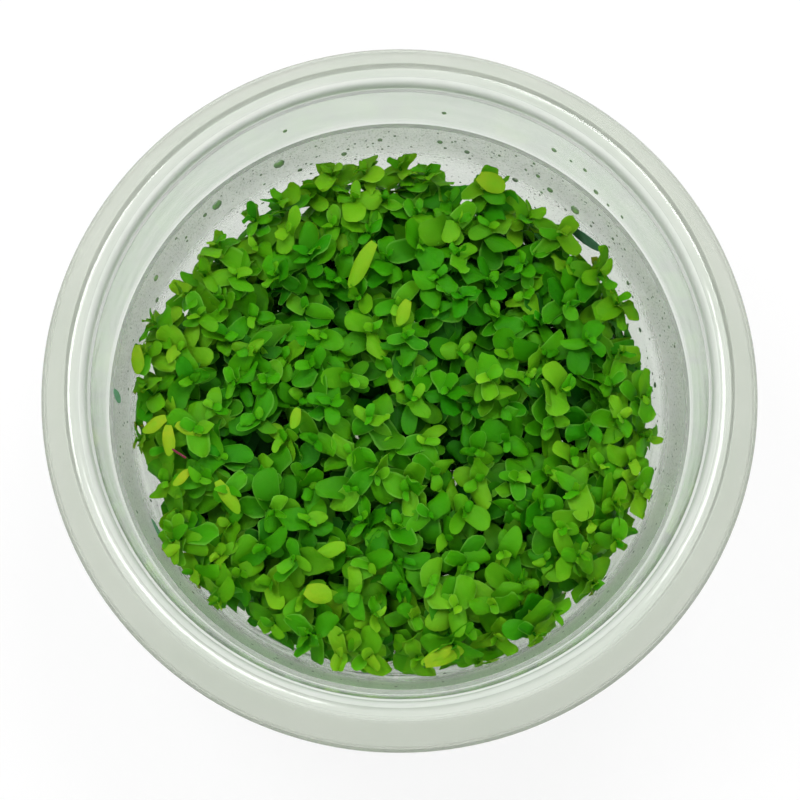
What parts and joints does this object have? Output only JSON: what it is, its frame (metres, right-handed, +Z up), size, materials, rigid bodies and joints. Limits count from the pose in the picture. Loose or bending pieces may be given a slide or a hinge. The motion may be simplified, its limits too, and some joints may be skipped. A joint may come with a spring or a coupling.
{
  "type": "tissue culture plant cup",
  "caption": "Open round clear plastic cup with a flared rim and a stacking ledge, holding a dense low mat of small-leaved pearl grass rooted in clear gel.",
  "frame": {"origin": "centre of the cup's foot, on the surface that the cup stands on", "axes": "+Z up along the cup's axis; +X to the right and +Y away from someone who looks in over the rim"},
  "size_m": [0.1, 0.1, 0.05],
  "materials": {
    "clear_plastic": "clear moulded polypropylene, slightly milky, with condensation inside",
    "nutrient_gel": "clear to milky agar gel, wet",
    "pearl_grass": "satin living leaf"
  },
  "bodies": {
    "root": {"cup": "clear_plastic", "nutrient_gel": "nutrient_gel", "plantlet_01": "pearl_grass", "plantlet_02": "pearl_grass", "plantlet_03": "pearl_grass", "plantlet_04": "pearl_grass", "plantlet_05": "pearl_grass", "plantlet_06": "pearl_grass", "plantlet_07": "pearl_grass", "plantlet_08": "pearl_grass", "plantlet_09": "pearl_grass", "plantlet_10": "pearl_grass", "plantlet_11": "pearl_grass", "plantlet_12": "pearl_grass", "plantlet_13": "pearl_grass", "plantlet_14": "pearl_grass", "plantlet_15": "pearl_grass", "plantlet_16": "pearl_grass", "plantlet_17": "pearl_grass", "plantlet_18": "pearl_grass", "plantlet_19": "pearl_grass", "plantlet_20": "pearl_grass", "plantlet_21": "pearl_grass", "plantlet_22": "pearl_grass", "plantlet_23": "pearl_grass", "plantlet_24": "pearl_grass", "plantlet_25": "pearl_grass", "plantlet_26": "pearl_grass", "plantlet_27": "pearl_grass", "plantlet_28": "pearl_grass", "plantlet_29": "pearl_grass", "plantlet_30": "pearl_grass", "plantlet_31": "pearl_grass", "plantlet_32": "pearl_grass", "plantlet_33": "pearl_grass", "plantlet_34": "pearl_grass", "plantlet_35": "pearl_grass", "plantlet_36": "pearl_grass", "plantlet_37": "pearl_grass"}
  },
  "joints": []
}
